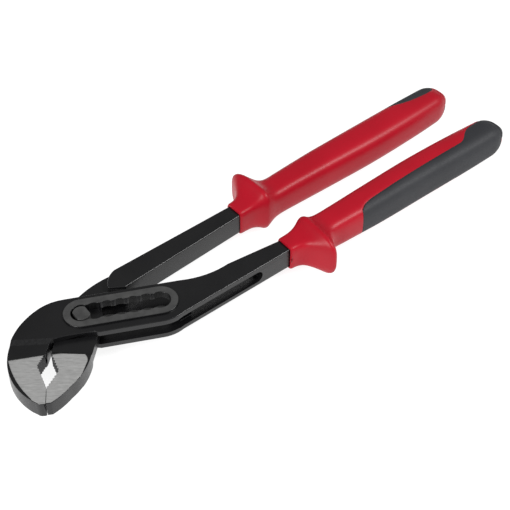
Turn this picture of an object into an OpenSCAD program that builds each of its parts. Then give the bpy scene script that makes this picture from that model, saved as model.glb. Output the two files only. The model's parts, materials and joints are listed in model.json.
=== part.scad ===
// Tongue and groove pliers: two forged levers on a pin that steps along a scalloped slot, with two-part grips.
// Millimetres. The tool lies flat with +X along the handles away from the jaws and +Z up.
// The plan is drawn about the pin's axis and set down with the middle of its outline over the origin.

/* [Part] */
// Piece to draw

/* [Levers] */
// Half of the thickness of the handles and of the plates beside the slot
plate_half = 6.3; // [6:0.1:6.6]
// Half of the thickness of the jaws
jaw_half = 4.7; // [4.4:0.1:5]
// Half of the thickness of the inner lever's neck, which passes between the plates
neck_half = 3; // [2.6:0.1:3.2]
// Free space on each face of the neck
neck_clearance = 0.15; // [0.1:0.05:0.3]
// How far the ground jaw faces lie below the black surface around them
ground_depth = 0.25; // [0.1:0.05:0.4]
// Depth of the teeth in the jaws
tooth_depth = 0.7; // [0.4:0.1:0.9]

/* [Slot and pin] */
// Number of places where the pin can sit
positions = 7; // [5:1:7]
// Distance from one place to the next
pitch = 6.6; // [6.2:0.1:6.6]
// Radius of each scallop in the slot
scallop_r = 5.3; // [4.9:0.05:5.4]
// Half of the slot's width between the scallops
slot_half = 4.6; // [4.55:0.05:4.8]
// Radius of the raised ring around the slot
ring_r = 9.3; // [9:0.1:9.8]
// Height of the raised ring above the plate
ring_rise = 0.9; // [0.4:0.1:1.2]
// Radius of the pin
pin_r = 4.5; // [4.3:0.05:4.5]
// Distance of each of the pin's two flats from its axis
pin_flat = 3.6; // [3.5:0.05:4.1]
// Running clearance of the pin in the inner lever
pin_clearance = 0.05; // [0.03:0.01:0.08]
// Radius of the inner lever's round boss about the pin
boss_r = 10.5; // [10:0.1:10.6]

/* [Grips] */
// Length of each grip
grip_length = 160; // [154:1:162]
// Half of the grip's thickness in the middle of its length
grip_half_height = 10; // [9.6:0.1:10.4]
// Half of the grip's width in the middle of its length
grip_half_width = 9.6; // [9.2:0.1:9.8]
// Reach of the guard on the outer side of the handle
guard_reach = 21.8; // [18:0.1:22.5]
// Half of the guard's thickness
guard_half_height = 13.5; // [12.5:0.1:14.5]
// Depth of the soft zone let into the grip
soft_depth = 2.2; // [1.8:0.1:2.4]

/* [Hidden] */
$fn = 64;
// Long enough to cut right through any piece
through = 60;
// Where the middle of the outline lies from the pin's axis
plan_middle_x = 110;
plan_middle_y = 0.9;
place = [-plan_middle_x, -plan_middle_y, guard_half_height];

black = [0.07, 0.07, 0.08];
pin_grey = [0.30, 0.30, 0.31];
red = [0.78, 0.09, 0.12];
soft_grey = [0.24, 0.24, 0.26];

// Direction of the slot, seen from above
slot_angle = -22;
slot_length = (positions - 1) * pitch;
// Direction in which the closed jaws part, from the tip towards the pin
mouth_angle = 59;
mouth_tip = [-41, -37.6];
// Half of the gap between the closed jaws
mouth_gap = 0.15;
// Length of the flat stretch at the tip, and where the pipe grip ends
tip_flat = 9.8;
grip_end = 29.5;
teeth_per_flank = 7;
// Where the head's slope begins and ends, along the mouth
slope_low = 35.9;
slope_high = 38.8;
// Where the ground face ends on the outer lever, at the mouth and at the back of the jaw
ground_end_mouth = 29.6;
ground_end_back = 27;
// Distance from the pin at which the inner jaw's slope starts and ends
jaw_start = 22.9;
jaw_full = 24.4;
jaw_normal_angle = 232;
// How far the plates reach on each side of the slot's middle line
plate_above = 12;
plate_below = 13.6;
groove_depth = 3.6;
groove_half = 3.5;
groove_end = 89;
// Where the outer lever's lower edge turns from the plates into the handle, and its rise along the handle
handle_corner = [42, -27.95];
handle_rise = 0.0665;
// Grip axes: where each starts on the handle, and its direction
outer_grip_start = [110.3, -18.8];
outer_grip_angle = 3.6;
inner_grip_start = [103.6, 17.5];
inner_grip_angle = 5.5;
tang_length = 137;
tang_half = 4.6;
tang_end_half = 3.2;
tang_clearance = 0.05;

// A unit arrow at an angle
function unit(a) = [cos(a), sin(a)];
// A point at a distance along and to the left of a line through a start at an angle
function beside(start, a, along, left) = start + along * unit(a) + left * unit(a + 90);
function mouth(along, left) = beside(mouth_tip, mouth_angle, along, left);
function slot(along, left) = beside([0, 0], slot_angle, along, left);
function outer_grip(along, left) = beside(outer_grip_start, outer_grip_angle, along, left);
function inner_grip(along, left) = beside(inner_grip_start, inner_grip_angle, along, left);

// Points of a round stretch from p to q that bows out to the left of the way, without p itself
function arc(p, q, bow, n) =
    let (way = q - p,
         span = norm(way),
         left = [-way[1], way[0]] / span,
         side = sign(bow),
         r = (span * span / 4 + bow * bow) / (2 * abs(bow)),
         centre = (p + q) / 2 + left * (bow - side * r),
         start = atan2(p[1] - centre[1], p[0] - centre[0]),
         sweep = -2 * side * asin(min(1, span / 2 / r)))
    [for (i = [1 : n]) centre + r * unit(start + sweep * i / n)];

// Points of a row of teeth from p to q, cut to the left of the way
function teeth(p, q, n, depth) =
    let (way = (q - p) / n,
         left = [-way[1], way[0]] / norm(way))
    [for (i = [0 : n - 1], k = [0, 1]) p + way * (i + k * 0.75) + left * depth * k];

// Prism about the middle plane
module slab(half, points) {
    linear_extrude(height = 2 * half, center = true) polygon(points);
}

// Row of circles joined by a strip, along the slot
module stadium(r, length, half) {
    rotate(slot_angle) {
        cylinder(r = r, h = 2 * half, center = true);
        translate([length, 0, 0]) cylinder(r = r, h = 2 * half, center = true);
        translate([length / 2, 0, 0]) cube([length, 2 * r, 2 * half], center = true);
    }
}

// Outline of the outer lever: jaw, head, plates beside the slot, handle and tang
outer_outline = concat(
    [mouth(-0.4, mouth_gap)],
    arc(mouth(-0.4, mouth_gap), mouth(0.2, 4.6), 0.8, 4),
    arc(mouth(0.2, 4.6), mouth(29, 19.6), 4.2, 12),
    arc(mouth(29, 19.6), [-14.6, 15.7], 3.7, 14),
    arc([-14.6, 15.7], slot(-7.5, plate_above), 0.8, 4),
    [slot(52, plate_above)],
    arc(slot(52, plate_above), [79, -12.6], -2, 8),
    [outer_grip(0, tang_half), outer_grip(tang_length, tang_end_half),
     outer_grip(tang_length, -tang_end_half), outer_grip(0, -tang_half)],
    [handle_corner],
    arc(handle_corner, slot(38.5, -plate_below), 0.9, 6),
    [slot(7, -plate_below)],
    arc(slot(7, -plate_below), slot(1, -12.6), -0.3, 4),
    [slot(-10, -12.4), [-19.3, -6.2], mouth(36.5, -0.5), mouth(31, 0.8)],
    teeth(mouth(grip_end, 1.6), mouth(22.8, 4.7), teeth_per_flank - 2, -tooth_depth),
    teeth(mouth(22.8, 4.7), mouth(tip_flat, mouth_gap), teeth_per_flank, -tooth_depth),
    [mouth(tip_flat, mouth_gap)]);

// Space between the plates that the neck sweeps through
window_outline = [[-4.9, 20.5], [-8.3, 11.7], [-10.6, 4.8], [-23.1, -9.5], [-24.6, -11.8], [-20, -32],
                  slot(40, -40), slot(75, -42), slot(61.5, -17), slot(51, 2.5), slot(51, 26)];

module outer_lever() {
    color(black)
    translate(place)
    difference() {
        union() {
            intersection() {
                slab(plate_half, outer_outline);
                // Thin at the jaw, sloping up to the full thickness at the head
                translate(mouth_tip) rotate(mouth_angle) rotate([90, 0, 0])
                    linear_extrude(height = 8 * through, center = true)
                        polygon([[-through, jaw_half], [slope_low, jaw_half], [slope_high, plate_half],
                                 [8 * through, plate_half], [8 * through, -plate_half],
                                 [slope_high, -plate_half], [slope_low, -jaw_half], [-through, -jaw_half]]);
            }
            stadium(ring_r, slot_length, plate_half + ring_rise);
        }
        slab(neck_half + neck_clearance, window_outline);
        stadium(slot_half, slot_length, through);
        rotate(slot_angle)
            for (i = [0 : positions - 1])
                translate([i * pitch, 0, 0]) cylinder(r = scallop_r, h = 2 * through, center = true);
        // Blind groove along the outer side of the handle
        groove_floor = handle_corner[1] + groove_depth;
        groove_end_floor = groove_floor + (groove_end - handle_corner[0]) * handle_rise;
        slab(groove_half, [slot(45, -plate_below - 6), [handle_corner[0], groove_floor],
                           [groove_end, groove_end_floor], [groove_end, -34]]);
        translate([groove_end, groove_end_floor, 0]) rotate([90, 0, 0])
            cylinder(r = groove_half, h = 10);
        // Ground faces of the jaw
        for (side = [-1, 1])
            translate([0, 0, side * (jaw_half - ground_depth + through)])
                slab(through, concat([mouth(-through, -through), mouth(-through, 4), mouth(2.6, 6.9)],
                                     arc(mouth(2.6, 6.9), mouth(ground_end_back, 19), 1.7, 8),
                                     [mouth(ground_end_mouth, 0), mouth(ground_end_mouth + 2, -through)]));
    }
}

// Outline of the inner lever: jaw, neck, boss, arm, handle and tang
inner_outline = concat(
    [mouth(-0.4, -mouth_gap)],
    [mouth(tip_flat, -mouth_gap)],
    teeth(mouth(tip_flat, -mouth_gap), mouth(19.2, -5.2), teeth_per_flank - 1, -tooth_depth),
    teeth(mouth(19.2, -5.2), mouth(grip_end, -1.5), teeth_per_flank - 1, -tooth_depth),
    [mouth(grip_end, -1.5), [-22.6, -9.9], [-7.9, 6.9]],
    arc([-7.9, 6.9], [-4, 9.7], 0.28, 4),
    [[4, 13]],
    arc([4, 13], [28.7, 17], 1.5, 10),
    [inner_grip(0, tang_half), inner_grip(tang_length, tang_end_half),
     inner_grip(tang_length, -tang_end_half), inner_grip(0, -tang_half)],
    [slot(24.2, 13.5), slot(10.5, 13.3), slot(10.5, 0)],
    arc(slot(10.5, 0), slot(9.7, -4), 0.15, 3),
    [slot(1.9, -23.5)],
    arc(slot(1.9, -23.5), mouth(9, -11.5), 1.9, 12),
    arc(mouth(9, -11.5), mouth(-0.2, -2.6), 0.5, 6),
    [mouth(-0.4, -mouth_gap)]);

// Thick stretch of the inner handle, from the curved step on
inner_handle_outline = concat(
    [[28.7, 17]],
    arc([28.7, 17], slot(15.6, 14.7), -1.6, 8),
    [slot(24.2, 13.5), inner_grip(0, -tang_half), inner_grip(tang_length, -tang_end_half),
     inner_grip(tang_length, tang_end_half), inner_grip(0, tang_half)]);

module inner_lever() {
    color(black)
    translate(place)
    difference() {
        union() {
            slab(neck_half, inner_outline);
            slab(plate_half, inner_handle_outline);
            intersection() {
                slab(jaw_half, inner_outline);
                rotate(jaw_normal_angle) rotate([90, 0, 0])
                    linear_extrude(height = 4 * through, center = true)
                        polygon([[jaw_start, neck_half - 1], [jaw_start, neck_half], [jaw_full, jaw_half],
                                 [through, jaw_half], [through, -jaw_half], [jaw_full, -jaw_half],
                                 [jaw_start, -neck_half], [jaw_start, 1 - neck_half]]);
            }
        }
        cylinder(r = pin_r + pin_clearance, h = 2 * through, center = true);
        // Ground faces of the jaw, with a round corner towards the neck
        for (side = [-1, 1])
            translate([0, 0, side * (jaw_half - ground_depth + through)])
                slab(through, concat([mouth(-through, through), mouth(grip_end, through),
                                      mouth(grip_end, -1.5)],
                                     [[-13.6, -18.4]],
                                     arc([-13.6, -18.4], [-12.2, -26.8], 2, 8),
                                     [[-19.6, -33.4], [-60, -66]]));
    }
}

module pivot_pin() {
    color(pin_grey)
    translate(place)
    intersection() {
        cylinder(r = pin_r, h = 2 * (plate_half + ring_rise), center = true);
        union() {
            // Round where the inner lever turns on it, with two flats beyond
            cylinder(r = pin_r + 1, h = 2 * neck_half, center = true);
            cube([2 * pin_flat, 4 * pin_r, 4 * plate_half], center = true);
        }
    }
}

// Grip sections: distance along, inner half width, outer half width, half height, squareness
sections = [[0, 5.8, 6.3, 8.1, 5], [5, 5.9, 7, 8.3, 5], [8.5, 6.2, 9.2, 8.9, 4.6],
            [11.5, 7, 14, 10.2, 4.2],
            [14.5, 8.4, guard_reach - 1.8, guard_half_height - 1.1, 3.4],
            [17, 9.2, guard_reach, guard_half_height, 3],
            [19.5, 9, guard_reach - 1.8, guard_half_height - 0.8, 3],
            [23, 8.5, 13, grip_half_height + 0.4, 3.2],
            [27, 8.1, 9.4, grip_half_height - 0.6, 3.4],
            [36, 8.2, 9.2, grip_half_height - 0.4, 3.4],
            [60, 9.2, grip_half_width + 0.2, grip_half_height, 3.4],
            [95, grip_half_width + 1, grip_half_width, grip_half_height + 0.2, 3.3],
            [130, grip_half_width + 0.7, grip_half_width - 0.1, grip_half_height, 3.2],
            [grip_length, grip_half_width - 0.6, grip_half_width - 0.6, grip_half_height - 0.5, 3]];
section_points = 40;
steps_between = 3;
round_end = 13;
last_section = len(sections) - 1;

// Change of the measures per millimetre at a named section
function slope(i) =
    let (a = max(0, i - 1),
         b = min(last_section, i + 1))
    (sections[b] - sections[a]) / (sections[b][0] - sections[a][0]);
// Measures of the grip part of the way between two named sections, on a smooth curve
function between(i, f) =
    let (h = sections[i + 1][0] - sections[i][0])
    sections[i] * (2 * pow(f, 3) - 3 * f * f + 1)
    + slope(i) * h * (pow(f, 3) - 2 * f * f + f)
    + sections[i + 1] * (3 * f * f - 2 * pow(f, 3))
    + slope(i + 1) * h * (pow(f, 3) - f * f);
function rounded(c, power) = sign(c) * pow(abs(c), 2 / power);

// Measures of every ring of points along the grip, the last ones closing in to a round end
rings = concat(
    [for (i = [0 : last_section - 2], k = [0 : steps_between - 1]) between(i, k / steps_between)],
    [for (a = [0 : 10 : 80])
        let (start = sections[last_section - 1][0],
             s = grip_length - round_end * (1 - sin(a)),
             m = between(last_section - 1, (s - start) / (grip_length - start)))
        [s, m[1] * cos(a), m[2] * cos(a), m[3] * cos(a), m[4]]]);

function ring_points(r, inset) =
    [for (k = [0 : section_points - 1])
        let (a = 360 * k / section_points,
             x = rounded(cos(a), r[4]),
             z = rounded(sin(a), r[4]))
        [r[0] * (grip_length - inset) / grip_length,
         x * max(0.3, (x > 0 ? r[2] : r[1]) - inset),
         z * max(0.3, r[3] - inset)]];

// Grip envelope along +X with its guard towards +Y, shrunk by an inset
module sleeve(inset) {
    n = section_points;
    last = len(rings) - 1;
    ends = [[0, 0, 0], [rings[last][0] * (grip_length - inset) / grip_length, 0, 0]];
    points = concat([for (r = rings) each ring_points(r, inset)], ends);
    front_middle = (last + 1) * n;
    back_middle = front_middle + 1;
    sides = [for (j = [0 : last - 1], k = [0 : n - 1], half = [0, 1])
        half == 0 ? [(j + 1) * n + (k + 1) % n, j * n + (k + 1) % n, j * n + k]
                  : [(j + 1) * n + k, (j + 1) * n + (k + 1) % n, j * n + k]];
    front = [for (k = [0 : n - 1]) [k, (k + 1) % n, front_middle]];
    back = [for (k = [0 : n - 1]) [last * n + (k + 1) % n, last * n + k, back_middle]];
    polyhedron(points = points, faces = concat(front, sides, back), convexity = 6);
}

// Zone of the soft inlay: over the top it runs from the outer side to the middle and round the tip,
// underneath it keeps to the outer side
soft_start = 47;
module soft_zone() {
    reach = 40;
    linear_extrude(height = reach)
        polygon(concat([[soft_start, reach], [soft_start, 8.5]],
                       arc([soft_start, 8.5], [soft_start + 10, 4], -1.2, 6),
                       arc([soft_start + 10, 4], [128, 1.4], -0.6, 8),
                       arc([128, 1.4], [143, -7], -1, 6),
                       [[grip_length + 5, -8.2], [grip_length + 5, reach]]));
    translate([0, 0, -reach])
        linear_extrude(height = reach)
            polygon(concat([[soft_start, reach], [soft_start, 8.3], [118, 8.3]],
                           arc([118, 8.3], [141, 1.4], -1, 6),
                           arc([141, 1.4], [154, 2.4], -1.2, 6),
                           [[grip_length + 2, reach]]));
}

module tang_space() {
    reach = tang_half + tang_clearance;
    end_reach = tang_end_half + tang_clearance;
    slab(plate_half + tang_clearance, [[-10, reach], [0, reach], [tang_length + tang_clearance, end_reach],
                                       [tang_length + tang_clearance, -end_reach], [0, -reach], [-10, -reach]]);
}

module grip_body() {
    difference() {
        sleeve(0);
        difference() {
            soft_zone();
            sleeve(soft_depth);
        }
        tang_space();
    }
}

module grip_soft() {
    intersection() {
        difference() {
            sleeve(0);
            sleeve(soft_depth);
        }
        soft_zone();
    }
}

// The outer grip's guard points towards -Y, so the sleeve is mirrored there; the inner one is the same
// sleeve turned over about its length
module on_outer_handle() {
    translate(place) translate(outer_grip_start) rotate(outer_grip_angle) mirror([0, 1, 0]) children();
}

module on_inner_handle() {
    translate(place) translate(inner_grip_start) rotate(inner_grip_angle) mirror([0, 0, 1]) children();
}

module outer_grip_body() {
    color(red) on_outer_handle() grip_body();
}

module inner_grip_body() {
    color(red) on_inner_handle() grip_body();
}

module outer_grip_soft() {
    color(soft_grey) on_outer_handle() grip_soft();
}

module inner_grip_soft() {
    color(soft_grey) on_inner_handle() grip_soft();
}

outer_lever();
inner_lever();
pivot_pin();
outer_grip_body();
inner_grip_body();
outer_grip_soft();
inner_grip_soft();
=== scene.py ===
import json
from math import acos, cos, degrees, pi, radians, sin, sqrt

import bmesh
import bpy
from mathutils import Matrix, Vector

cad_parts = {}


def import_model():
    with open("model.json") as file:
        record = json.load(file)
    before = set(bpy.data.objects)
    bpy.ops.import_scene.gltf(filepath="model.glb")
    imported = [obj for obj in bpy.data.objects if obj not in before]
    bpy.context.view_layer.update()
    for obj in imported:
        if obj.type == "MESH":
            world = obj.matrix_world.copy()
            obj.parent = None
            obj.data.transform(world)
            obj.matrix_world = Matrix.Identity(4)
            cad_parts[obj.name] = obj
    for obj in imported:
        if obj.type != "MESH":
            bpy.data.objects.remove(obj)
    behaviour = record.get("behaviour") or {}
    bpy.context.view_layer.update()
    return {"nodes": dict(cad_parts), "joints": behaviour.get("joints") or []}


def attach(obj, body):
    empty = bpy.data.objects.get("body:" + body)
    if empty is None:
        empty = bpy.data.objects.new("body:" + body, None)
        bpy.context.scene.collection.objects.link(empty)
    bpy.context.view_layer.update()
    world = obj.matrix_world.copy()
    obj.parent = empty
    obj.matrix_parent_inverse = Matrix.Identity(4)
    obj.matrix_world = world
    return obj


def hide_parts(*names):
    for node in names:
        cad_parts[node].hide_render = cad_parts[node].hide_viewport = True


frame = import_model()

MM = 0.001
joints = {j["name"]: j for j in frame["joints"]}
PIVOT = Vector(joints["pin_pivot"]["pos_m"])

# The tool's measures in millimetres, about the pin's axis, as in the CAD
SLOT_ANGLE = radians(-22)
SLOT_LENGTH = 39.6
MOUTH_ANGLE = radians(59)
MOUTH_TIP = Vector((-41, -37.6))
# Heights above the middle plane of the plates, the ring and the ground jaw faces
PLATE_HALF = 6.3
RING_HALF = 7.2
GROUND_HALF = 4.45
# Edges below these heights are in the outer lever's groove, and on the inner lever's neck
GROOVE_REACH = 3.7
NECK_REACH = 3.2
# Places along the mouth, from its tip: teeth, front part of the jaws, head, edges of the head's slope
TEETH_START = 8.5
TEETH_END = 31
FRONT_END = 12
HEAD_END = 50
SLOPE_ENDS = (35.9, 38.8)
# Distances from the slot's middle line within which its ring's foot and its walls lie
RING_REACH = 9.6
SLOT_REACH = 5.6
# Distance from the pin's axis within which the inner lever's boss lies
BOSS_REACH = 14


def unit(a):
    """Unit arrow at an angle in the plan."""
    return Vector((cos(a), sin(a)))


def mouth_coords(p):
    """Distance along the closed mouth from the tip, and to its left, of a plan point in mm."""
    d = Vector((p[0], p[1])) - MOUTH_TIP
    return d.dot(unit(MOUTH_ANGLE)), d.dot(unit(MOUTH_ANGLE + pi / 2))


def slot_coords(p):
    """Distance along the slot from the pin, and to its left, of a plan point in mm."""
    d = Vector((p[0], p[1]))
    return d.dot(unit(SLOT_ANGLE)), d.dot(unit(SLOT_ANGLE + pi / 2))


def in_mm(co):
    """Place about the pin's axis in mm, height from the middle plane."""
    return (Vector(co) - PIVOT) / MM


def link(obj):
    bpy.context.scene.collection.objects.link(obj)
    return obj


# ---------------------------------------------------------------- materials
def node_tree(name):
    """A new material's parts: itself, its nodes, its shader and the object coordinates."""
    mat = bpy.data.materials.new(name)
    mat.use_nodes = True
    nt = mat.node_tree
    nt.nodes.clear()
    out = nt.nodes.new("ShaderNodeOutputMaterial")
    bsdf = nt.nodes.new("ShaderNodeBsdfPrincipled")
    nt.links.new(bsdf.outputs[0], out.inputs[0])
    coord = nt.nodes.new("ShaderNodeTexCoord")
    return mat, nt, bsdf, coord.outputs["Object"]


def noise(nt, vec, scale, detail=4, rough=0.55, stretch=None, turn=0.0):
    """Noise texture on object coordinates, drawn out along one axis where stretch is given."""
    if stretch is not None:
        m = nt.nodes.new("ShaderNodeMapping")
        m.vector_type = "TEXTURE"
        m.inputs["Rotation"].default_value = (0, 0, turn)
        m.inputs["Scale"].default_value = stretch
        nt.links.new(vec, m.inputs["Vector"])
        vec = m.outputs[0]
    t = nt.nodes.new("ShaderNodeTexNoise")
    t.inputs["Scale"].default_value = scale
    t.inputs["Detail"].default_value = detail
    t.inputs["Roughness"].default_value = rough
    nt.links.new(vec, t.inputs["Vector"])
    return t.outputs["Fac"]


def spread(nt, value, low, high, start=0.3, end=0.7):
    """Maps a noise value onto the stretch from low to high."""
    r = nt.nodes.new("ShaderNodeMapRange")
    r.inputs["From Min"].default_value = start
    r.inputs["From Max"].default_value = end
    r.inputs["To Min"].default_value = low
    r.inputs["To Max"].default_value = high
    nt.links.new(value, r.inputs["Value"])
    return r.outputs[0]


def two_tone(nt, value, dark, light, start=0.3, end=0.7):
    """Colour between dark and light, by a noise value."""
    r = nt.nodes.new("ShaderNodeValToRGB")
    r.color_ramp.elements[0].position = start
    r.color_ramp.elements[0].color = (*dark, 1)
    r.color_ramp.elements[1].position = end
    r.color_ramp.elements[1].color = (*light, 1)
    nt.links.new(value, r.inputs[0])
    return r.outputs[0]


def finish_with(nt, bsdf, colour, roughness):
    nt.links.new(colour, bsdf.inputs["Base Color"])
    nt.links.new(roughness, bsdf.inputs["Roughness"])


def bumped(nt, bsdf, layers):
    """Stacks bump layers: (height, strength, distance in metres)."""
    normal = None
    for height, strength, distance in layers:
        b = nt.nodes.new("ShaderNodeBump")
        b.inputs["Strength"].default_value = strength
        b.inputs["Distance"].default_value = distance
        nt.links.new(height, b.inputs["Height"])
        if normal is not None:
            nt.links.new(normal, b.inputs["Normal"])
        normal = b.outputs[0]
    nt.links.new(normal, bsdf.inputs["Normal"])


# Direction of the grinding lines on the jaws, in the plan
GRIND_ANGLE = radians(-35)


def black_steel():
    mat, nt, bsdf, vec = node_tree("black_steel")
    broad = noise(nt, vec, 45, 5)
    fine = noise(nt, vec, 900, 4, 0.6)
    pits = noise(nt, vec, 260, 3, 0.5)
    finish_with(nt, bsdf, two_tone(nt, broad, (0.003, 0.003, 0.0035), (0.006, 0.006, 0.0065)),
                spread(nt, fine, 0.24, 0.36))
    bsdf.inputs["IOR"].default_value = 1.5
    bumped(nt, bsdf, [(pits, 0.10, 0.0003), (fine, 0.08, 0.0001)])
    return mat


# Painted shade for the slot's walls: the same black steel with a weaker reflection (lower IOR), so the
# inside of the slot looks shaded.
def slot_painted_shade_steel():
    mat, nt, bsdf, vec = node_tree("slot_painted_shade_steel")
    fine = noise(nt, vec, 700, 4, 0.6)
    finish_with(nt, bsdf, two_tone(nt, fine, (0.003, 0.003, 0.003), (0.006, 0.006, 0.006)),
                spread(nt, fine, 0.45, 0.6))
    bsdf.inputs["IOR"].default_value = 1.35
    bumped(nt, bsdf, [(fine, 0.1, 0.0002)])
    return mat


def ground_steel():
    mat, nt, bsdf, vec = node_tree("ground_steel")
    lines = noise(nt, vec, 1500, 3, 0.6, (24, 1, 1), GRIND_ANGLE)
    hair = noise(nt, vec, 4000, 2, 0.6, (14, 1, 1), GRIND_ANGLE)
    finish_with(nt, bsdf, two_tone(nt, lines, (0.72, 0.72, 0.71), (0.96, 0.96, 0.95), 0.25, 0.75),
                spread(nt, hair, 0.40, 0.55))
    bsdf.inputs["Metallic"].default_value = 1.0
    bumped(nt, bsdf, [(lines, 0.12, 0.0001), (hair, 0.10, 0.00006)])
    return mat


def worn_steel():
    mat, nt, bsdf, vec = node_tree("worn_steel")
    cloud = noise(nt, vec, 120, 5, 0.6)
    scratch = noise(nt, vec, 2500, 3, 0.6, (9, 1, 1), SLOT_ANGLE)
    finish_with(nt, bsdf, two_tone(nt, cloud, (0.045, 0.045, 0.045), (0.085, 0.085, 0.084)),
                spread(nt, scratch, 0.42, 0.6))
    bsdf.inputs["Metallic"].default_value = 0.35
    bumped(nt, bsdf, [(scratch, 0.10, 0.0001), (cloud, 0.10, 0.0002)])
    return mat


def red_plastic():
    mat, nt, bsdf, vec = node_tree("red_plastic")
    broad = noise(nt, vec, 30, 3)
    grain = noise(nt, vec, 1400, 3, 0.5)
    finish_with(nt, bsdf, two_tone(nt, broad, (0.33, 0.003, 0.012), (0.38, 0.004, 0.015)),
                spread(nt, grain, 0.34, 0.46))
    bsdf.inputs["IOR"].default_value = 1.42
    bsdf.inputs["Specular IOR Level"].default_value = 0.32
    bumped(nt, bsdf, [(grain, 0.08, 0.0001), (broad, 0.05, 0.0004)])
    return mat


def soft_rubber():
    mat, nt, bsdf, vec = node_tree("soft_rubber")
    broad = noise(nt, vec, 50, 4)
    grain = noise(nt, vec, 1800, 4, 0.6)
    finish_with(nt, bsdf, two_tone(nt, broad, (0.012, 0.013, 0.016), (0.019, 0.020, 0.024)),
                spread(nt, grain, 0.55, 0.75))
    bumped(nt, bsdf, [(grain, 0.22, 0.00012)])
    return mat


BLACK = black_steel()
GROUND = ground_steel()
WORN = worn_steel()
SLOT_SHADE = slot_painted_shade_steel()
RED = red_plastic()
SOFT = soft_rubber()


# ---------------------------------------------------------------- levers and pin
# Faces that meet at more than this make an edge
EDGE_ANGLE = radians(24)
# Rounding of the edges in mm: on a jaw, on the ring and the neck, and elsewhere
JAW_ROUND = 0.3
FINE_ROUND = 0.25
BODY_ROUND = 0.55


def refined(node, name, width_of, slot_of, materials):
    """A piece in place of a CAD node: its flat faces joined, its edges rounded and its faces finished.
    width_of gives the rounding of an edge in mm, slot_of the place of a face's material in materials."""
    me = bpy.data.meshes.new(name)
    bm = bmesh.new()
    bm.from_mesh(frame["nodes"][node].data)
    bmesh.ops.remove_doubles(bm, verts=bm.verts, dist=2e-6)
    bmesh.ops.dissolve_limit(bm, angle_limit=radians(0.6), verts=bm.verts, edges=bm.edges)
    bm.normal_update()
    for f in bm.faces:
        f.material_index = slot_of(f)
        f.smooth = True
    weight = bm.edges.layers.float.new("bevel_weight_edge")
    for e in bm.edges:
        if len(e.link_faces) == 2 and e.calc_face_angle(0) > EDGE_ANGLE:
            e[weight] = 0 if any(low_step(f) for f in e.link_faces) else width_of(e)
            e.smooth = e[weight] > 0
    bm.to_mesh(me)
    bm.free()
    obj = link(bpy.data.objects.new(name, me))
    for m in materials:
        me.materials.append(m)
    bevel = obj.modifiers.new("edges", "BEVEL")
    bevel.limit_method = "WEIGHT"
    bevel.width = MM
    bevel.segments = 3
    bevel.use_clamp_overlap = False
    bevel.miter_outer = "MITER_ARC"
    bevel.material = 0
    smooth = obj.modifiers.new("normals", "WEIGHTED_NORMAL")
    smooth.keep_sharp = True
    smooth.weight = 60
    return obj


def low_step(f):
    """True for the small upright step round a ground face."""
    heights = [v.co.z for v in f.verts]
    return abs(f.normal.z) < 0.1 and max(heights) - min(heights) < 0.3 * MM


def mid(e):
    """Middle of an edge in mm."""
    return in_mm((e.verts[0].co + e.verts[1].co) / 2)


def jaw_width(u, v):
    """Rounding on a jaw: none along the front of the mouth, little elsewhere."""
    return 0.0 if abs(v) < 1.3 and u < FRONT_END else JAW_ROUND


def at_slot(s, n, reach):
    return abs(n) < reach and -reach < s < SLOT_LENGTH + reach


def outer_width(e):
    """Rounding of an edge of the outer lever; teeth, ring's foot, groove and neck space stay square."""
    p = mid(e)
    u, v = mouth_coords(p)
    s, n = slot_coords(p)
    if TEETH_START < u < TEETH_END and -1 < v < 6:
        return 0.0
    if abs(abs(p.z) - PLATE_HALF) < 0.02 and at_slot(s, n, RING_REACH):
        return 0.0
    if u < HEAD_END and v > -3 or any(abs(u - end) < 0.2 for end in SLOPE_ENDS):
        return jaw_width(u, v)
    if abs(p.z) > PLATE_HALF + 0.1:
        return FINE_ROUND
    if abs(p.z) < GROOVE_REACH:
        return 0.0
    return BODY_ROUND


def inner_width(e):
    """Rounding of an edge of the inner lever; the teeth stay square."""
    p = mid(e)
    u, v = mouth_coords(p)
    if TEETH_START < u < TEETH_END and -6.5 < v < 1:
        return 0.0
    if u < TEETH_END:
        return jaw_width(u, v)
    if p.length < BOSS_REACH or abs(p.z) < NECK_REACH:
        return FINE_ROUND
    return BODY_ROUND


def lies_flat_at(f, p, half):
    return abs(f.normal.z) > 0.9 and abs(abs(p.z) - half) < 0.05


def outer_slot(f):
    """Place in the outer lever's materials: black, ground, worn, or the slot's steel darkened as painted
    shade.
    """
    p = in_mm(f.calc_center_median())
    if lies_flat_at(f, p, GROUND_HALF):
        return 1
    if lies_flat_at(f, p, RING_HALF):
        return 2
    s, n = slot_coords(p)
    # Upright walls inside the slot take the steel with painted shade.
    if abs(f.normal.z) < 0.1 and at_slot(s, n, SLOT_REACH):
        return 3
    return 0


def inner_slot(f):
    """Place in the inner lever's materials: black or ground steel."""
    return 1 if lies_flat_at(f, in_mm(f.calc_center_median()), GROUND_HALF) else 0


outer = refined("outer_lever", "outer_lever_forging", outer_width, outer_slot,
                [BLACK, GROUND, WORN, SLOT_SHADE])
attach(outer, "outer_half")
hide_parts("outer_lever")

inner = refined("inner_lever", "inner_lever_forging", inner_width, inner_slot, [BLACK, GROUND])
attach(inner, "inner_half")
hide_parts("inner_lever")

pin = refined("pivot_pin", "pivot_pin_body", lambda e: FINE_ROUND, lambda f: 0, [WORN])
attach(pin, "pin")
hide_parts("pivot_pin")


# ---------------------------------------------------------------- grips
# Measures in mm in the grip's own frame: s along it from the front, outwards on the guard's side
GRIP_LENGTH = 160.0
ROUND_END = 13.0
GUARD_REACH = 21.8
GUARD_HALF = 13.5
HALF_W = 9.6
HALF_H = 10.0
SOFT_DEPTH = 2.2
LENGTHWAYS = 0.9983  # keeps the round end within the CAD's box
SOFT_START = 47.0
FRONT_HALF_W = 5.8
FRONT_HALF_H = 8.1
# Skin faces that meet at more than this make a sharp edge
CREASE_ANGLE = radians(38)
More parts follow.
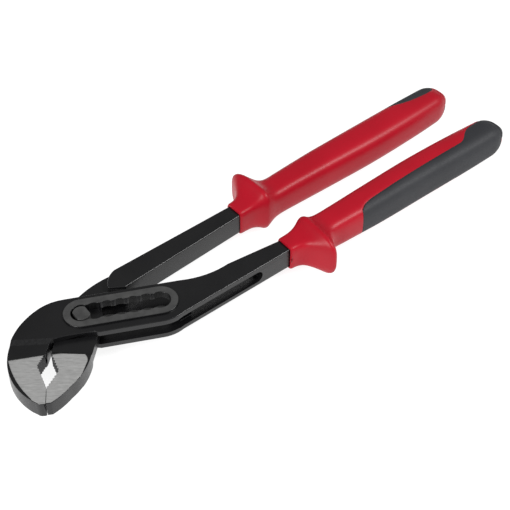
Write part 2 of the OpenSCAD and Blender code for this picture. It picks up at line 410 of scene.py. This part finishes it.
# Space for the tang, wider at its opening: distance along, half width, half height
TANG_SPACE = [(0, 4.95, 6.75), (1, 4.67, 6.37), (137.05, 3.27, 6.37)]
# Distance along, inner half width, outer half width, half height, squareness
SECTIONS = [
    (0, FRONT_HALF_W, 6.3, FRONT_HALF_H, 5), (5, 5.9, 7, 8.3, 5), (8.5, 6.2, 9.2, 8.8, 4.8),
    (11.5, 6.9, 13.4, 9.9, 4.6),
    (14, 8, GUARD_REACH - 3.8, GUARD_HALF - 2.1, 4),
    (15.6, 8.8, GUARD_REACH - 1, GUARD_HALF - 0.7, 3.6),
    (17, 9.2, GUARD_REACH - 0.1, GUARD_HALF - 0.05, 3.3),
    (18.3, 9.1, GUARD_REACH - 0.7, GUARD_HALF - 0.4, 3.2),
    (20, 8.9, GUARD_REACH - 3.4, GUARD_HALF - 1.8, 3.2),
    (23, 8.4, 12.2, HALF_H + 0.1, 3.3), (27, 8.1, 9.4, HALF_H - 0.6, 3.4),
    (36, 8.2, 9.2, HALF_H - 0.4, 3.4), (60, 9.2, HALF_W + 0.2, HALF_H, 3.4),
    (95, HALF_W + 1, HALF_W, HALF_H + 0.2, 3.3), (130, HALF_W + 0.7, HALF_W - 0.1, HALF_H, 3.2),
    (GRIP_LENGTH, HALF_W - 0.6, HALF_W - 0.6, HALF_H - 0.5, 3)]


def hermite(rows, s):
    """Smooth curve through rows of (distance, values...), at distance s."""
    last = len(rows) - 1
    i = max(k for k in range(last) if k == 0 or rows[k][0] <= s)

    def tangent(k):
        a, b = rows[max(0, k - 1)], rows[min(last, k + 1)]
        return [(y - x) / (b[0] - a[0]) for x, y in zip(a, b)]

    h = rows[i + 1][0] - rows[i][0]
    f = (s - rows[i][0]) / h
    w = (2 * f**3 - 3 * f * f + 1, (f**3 - 2 * f * f + f) * h, 3 * f * f - 2 * f**3, (f**3 - f * f) * h)
    parts = (rows[i], tangent(i), rows[i + 1], tangent(i + 1))
    return [sum(wk * p[c] for wk, p in zip(w, parts)) for c in range(1, len(rows[0]))]


def measures(s):
    """Inner and outer half width, half height, squareness and closing factor of the grip at s."""
    m = hermite(SECTIONS, s)
    x = (s - (GRIP_LENGTH - ROUND_END)) / ROUND_END
    close = 1 if x <= 0 else sqrt(max(0, 1 - x * x))
    return m, close


def rounded(c, power):
    """Draws a circle's coordinate out towards a square's, the more so the higher the power."""
    return (1 if c >= 0 else -1) * abs(c) ** (2 / power)


def grip_point(s, a, depth):
    """Point of the grip at s and angle a (degrees, 0 on the outer side, 90 on top), sunk by depth."""
    (wi, wo, h, power), close = measures(s)
    c, z = rounded(cos(radians(a)), power), rounded(sin(radians(a)), power)
    w = wo if c > 0 else wi
    return Vector((s * LENGTHWAYS * (1 - depth / GRIP_LENGTH),
                   c * w * close * (1 - depth / w),
                   z * h * close * (1 - depth / h)))


# The soft zone's borders over the top and underneath: distance along, distance outwards from the middle
BORDER_TOP = [
    (SOFT_START, 8.5), (49, 6.7), (51.5, 5.2), (54, 4.5), (57, 4), (74, 2.9), (92.5, 2.1), (110, 1.7),
    (128, 1.4), (131.5, -0.6), (135, -3.7), (138.8, -5.9), (143, -7), (GRIP_LENGTH, -8)]
BORDER_UNDER = [
    (SOFT_START, 8.3), (118, 8.3), (124, 6.2), (129.2, 3.9), (135, 2.3), (141, 1.4), (147.6, 0.8),
    (152, 1.6), (154, 2.4), (155.5, 9), (GRIP_LENGTH, 20)]
# From here on a border is the mean of places this far apart, which rounds its corners
SMOOTH_START = SOFT_START + 2
SMOOTH_STEP = 0.6
# Length over which the soft zone opens at its front
OPENING_LENGTH = 0.9


def linear(rows, s):
    """Value on the straight stretches between rows of (distance, value), at distance s."""
    if s <= rows[0][0]:
        return rows[0][1]
    for (s0, a0), (s1, a1) in zip(rows, rows[1:]):
        if s <= s1:
            return a0 + (a1 - a0) * (s - s0) / (s1 - s0)
    return rows[-1][1]


def border(rows, s):
    """Angle round the grip, in degrees from the outer side, where the border crosses the skin at s."""
    (wi, wo, h, power), close = measures(s)
    near = (-2, -1, 0, 1, 2) if s > SMOOTH_START else (0,)
    t = sum(linear(rows, s + k * SMOOTH_STEP) for k in near) / len(near)
    w = (wo if t > 0 else wi) * max(close, 1e-6)
    c = max(-1.0, min(1.0, (1 if t >= 0 else -1) * (abs(t) / w) ** (power / 2)))
    opening = min(1.0, sqrt(max(0.0, (s - SOFT_START) / OPENING_LENGTH)))
    return opening * degrees(acos(c))


def stations():
    """Distances of the rings along the grip, closer together at the front, the soft zone and the end."""
    body = [0.0, 0.35, 0.9, 1.8] + [3 + 0.75 * k for k in range(58)]
    body = [s for s in body if s < SOFT_START - 0.1]
    start = [SOFT_START + x for x in (0, 0.04, 0.12, 0.25, 0.45, 0.7, 1, 1.4, 1.9, 2.5, 3.2, 4, 5)]
    run = [SOFT_START + 5 + 1.5 * k for k in range(1, 61)]
    run = [s for s in run if s < GRIP_LENGTH - ROUND_END - 0.5]
    end = [GRIP_LENGTH - ROUND_END * (1 - sin(radians(3.6 * k))) for k in range(25)]
    return body + start + run + end + [GRIP_LENGTH]


STATIONS = stations()
# Depth of the fine groove at the border of the two colours, and the way over which the soft zone rises
SEAM = 0.32
SEAM_RISE = 0.3
# Rounding of the collar's front edge
FRONT_ROUND = 0.9
# Stretches in a ring round the red skin, the soft skin and the floor of the soft zone
RED_STEPS = 60
SOFT_STEPS = 44
FLOOR_STEPS = 12


def collar_round(s):
    """How far the collar's front edge is rounded back at s, in mm."""
    r = FRONT_ROUND
    return r - sqrt(max(0, r * r - (r - s) ** 2)) if s < r else 0.0


def seam(k, steps, depth):
    """Depth of the groove at point k of a stretch that starts and ends at a border."""
    if k in (0, steps):
        return depth
    return depth * 0.25 if k in (1, steps - 1) else 0.0


def red_ring(s):
    """One ring of the red body: its outside, and the pocket for the soft zone."""
    lo, hi = -border(BORDER_UNDER, s), border(BORDER_TOP, s)
    open_zone = s > SOFT_START
    depth = SOFT_DEPTH if open_zone else 0
    lip = SEAM if open_zone else 0
    turn = 360 - (hi - lo)
    pts = []
    for k in range(RED_STEPS + 1):
        pts.append(grip_point(s, hi + turn * (k / RED_STEPS), seam(k, RED_STEPS, lip) + collar_round(s)))
    for k in range(FLOOR_STEPS + 1):
        pts.append(grip_point(s, lo + (hi - lo) * k / FLOOR_STEPS, depth))
    return pts


def soft_ring(s):
    """One ring of the soft inlay: its skin, and its underside in the pocket."""
    lo, hi = -border(BORDER_UNDER, s), border(BORDER_TOP, s)
    risen = min(1.0, (s - SOFT_START) / SEAM_RISE)
    pts = []
    for k in range(SOFT_STEPS + 1):
        edge = SEAM * (1 - risen) + seam(k, SOFT_STEPS, SEAM) * risen
        pts.append(grip_point(s, lo + (hi - lo) * k / SOFT_STEPS, edge))
    for k in range(FLOOR_STEPS + 1):
        pts.append(grip_point(s, hi + (lo - hi) * k / FLOOR_STEPS, SOFT_DEPTH))
    return pts


def tube(bm, rings):
    """Joins rings of points into a wall, and gives back their vertices."""
    rows = [[bm.verts.new(p) for p in ring] for ring in rings]
    n = len(rows[0])
    for a, b in zip(rows, rows[1:]):
        for k in range(n):
            bm.faces.new((a[k], a[(k + 1) % n], b[(k + 1) % n], b[k]))
    return rows


def cap(bm, row):
    """Closes a ring with a fan about its middle."""
    centre = sum((v.co for v in row), Vector()) / len(row)
    c = bm.verts.new(centre)
    for k in range(len(row)):
        bm.faces.new((row[k], row[(k + 1) % len(row)], c))


def tang_ring(s, half_t, half_z, like):
    """The cavity's rectangle at s, one point for each of the points in like."""
    pts = []
    for p in like:
        d = Vector((p.y / FRONT_HALF_W, p.z / FRONT_HALF_H))
        k = 1 / max(abs(d.x), abs(d.y))
        pts.append(Vector((s, d.x * k * half_t, d.y * k * half_z)))
    return pts


def finish_grip(bm, name, mat, place):
    """Cleans a grip piece, sets it on its handle and makes the object."""
    bmesh.ops.remove_doubles(bm, verts=bm.verts, dist=0.002)
    bmesh.ops.dissolve_degenerate(bm, edges=bm.edges, dist=0.001)
    bmesh.ops.recalc_face_normals(bm, faces=bm.faces)
    for f in bm.faces:
        f.smooth = True
    for e in bm.edges:
        if len(e.link_faces) == 2 and e.calc_face_angle(0) > CREASE_ANGLE:
            e.smooth = False
    bm.transform(place)
    if place.determinant() < 0:
        bmesh.ops.reverse_faces(bm, faces=bm.faces)
    me = bpy.data.meshes.new(name)
    bm.to_mesh(me)
    bm.free()
    me.materials.append(mat)
    return link(bpy.data.objects.new(name, me))


def red_grip(name, place):
    """Red body: the skin with its pocket for the soft inlay, and the space for the tang."""
    bm = bmesh.new()
    rings = [red_ring(s) for s in STATIONS]
    rows = tube(bm, rings)
    front = rings[0]
    cavity = tube(bm, [tang_ring(*row, front) for row in TANG_SPACE])
    for k in range(len(front)):
        n = (k + 1) % len(front)
        bm.faces.new((rows[0][n], rows[0][k], cavity[0][k], cavity[0][n]))
    cap(bm, cavity[-1])
    return finish_grip(bm, name, RED, place)


def soft_grip(name, place):
    bm = bmesh.new()
    tube(bm, [soft_ring(s) for s in STATIONS if s >= SOFT_START])
    return finish_grip(bm, name, SOFT, place)


def on_handle(start, angle, mirror):
    """Places a grip by its start and direction on the handle."""
    return (Matrix.Translation(PIVOT) @ Matrix.Scale(MM, 4) @ Matrix.Translation((start[0], start[1], 0))
            @ Matrix.Rotation(radians(angle), 4, "Z") @ mirror)


OUTER_PLACE = on_handle((110.3, -18.8), 3.6, Matrix.Scale(-1, 4, (0, 1, 0)))
INNER_PLACE = on_handle((103.6, 17.5), 5.5, Matrix.Scale(-1, 4, (0, 0, 1)))
for side, body, place in (("outer", "outer_half", OUTER_PLACE), ("inner", "inner_half", INNER_PLACE)):
    red = red_grip(side + "_grip_sleeve", place)
    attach(red, body)
    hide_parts(side + "_grip_body")
    soft = soft_grip(side + "_grip_inlay", place)
    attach(soft, body)
    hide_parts(side + "_grip_soft")


# ---------------------------------------------------------------- floor, light, camera
# Half of the floor's side, and its height just under the tool, in metres
FLOOR_HALF = 4.0
FLOOR_Z = -0.0004


def floor():
    """White floor, lit mostly by its own glow, so that shadows stay faint."""
    mat, nt, bsdf, vec = node_tree("floor_white")
    tone = two_tone(nt, noise(nt, vec, 3), (0.22, 0.22, 0.22), (0.24, 0.24, 0.24))
    nt.links.new(tone, bsdf.inputs["Base Color"])
    bsdf.inputs["Roughness"].default_value = 0.9
    bsdf.inputs["Specular IOR Level"].default_value = 0.0
    bsdf.inputs["Emission Color"].default_value = (1, 1, 1, 1)
    bsdf.inputs["Emission Strength"].default_value = 0.88
    me = bpy.data.meshes.new("floor")
    bm = bmesh.new()
    corners = ((-1, -1), (1, -1), (1, 1), (-1, 1))
    bm.faces.new([bm.verts.new((x * FLOOR_HALF, y * FLOOR_HALF, FLOOR_Z)) for x, y in corners])
    bm.to_mesh(me)
    bm.free()
    me.materials.append(mat)
    obj = link(bpy.data.objects.new("floor", me))


def area(name, at, towards, size, power):
    """Round soft light that looks at a point."""
    light = bpy.data.lights.new(name, "AREA")
    light.shape = "DISK"
    light.size = size
    light.energy = power
    obj = link(bpy.data.objects.new(name, light))
    obj.location = at
    obj.rotation_mode = "QUATERNION"
    obj.rotation_quaternion = (towards - at).to_track_quat("-Z", "Y")


def world(shade):
    """Even grey surroundings."""
    w = bpy.data.worlds.new("studio")
    bpy.context.scene.world = w
    w.use_nodes = True
    bg = w.node_tree.nodes["Background"]
    bg.inputs[0].default_value = (shade, shade, shade, 1)
    bg.inputs[1].default_value = 1.0


floor()
world(0.26)

# The camera stands off the target by this much, in mm, in the tool's plan
TARGET = PIVOT + Vector((97.4, -10.7, 0)) * MM
STAND_OFF = Vector((-283.73, -405.21, 503.4)) * MM
SENSOR = 36
FOCAL_PER_WIDTH = 1350 / 510
cam_data = bpy.data.cameras.new("camera")
cam_data.sensor_width = SENSOR
cam_data.lens = SENSOR * FOCAL_PER_WIDTH
cam = link(bpy.data.objects.new("camera", cam_data))
cam.location = TARGET + STAND_OFF
cam.rotation_mode = "QUATERNION"
cam.rotation_quaternion = (-STAND_OFF).to_track_quat("-Z", "Y")
cam_data.clip_start = 0.01
bpy.context.scene.camera = cam

view_dir = Vector((STAND_OFF.x, STAND_OFF.y, 0)).normalized()
side_dir = Vector((-view_dir.y, view_dir.x, 0))
area("key", TARGET + view_dir * 1.1 - side_dir * 0.9 + Vector((0, 0, 0.95)), TARGET, 0.9, 26)
area("ridge", TARGET + Vector((0.72, -0.62, 0.95)), TARGET + Vector((0.05, 0, 0)), 0.55, 14)

bpy.context.scene.view_settings.view_transform = "Standard"
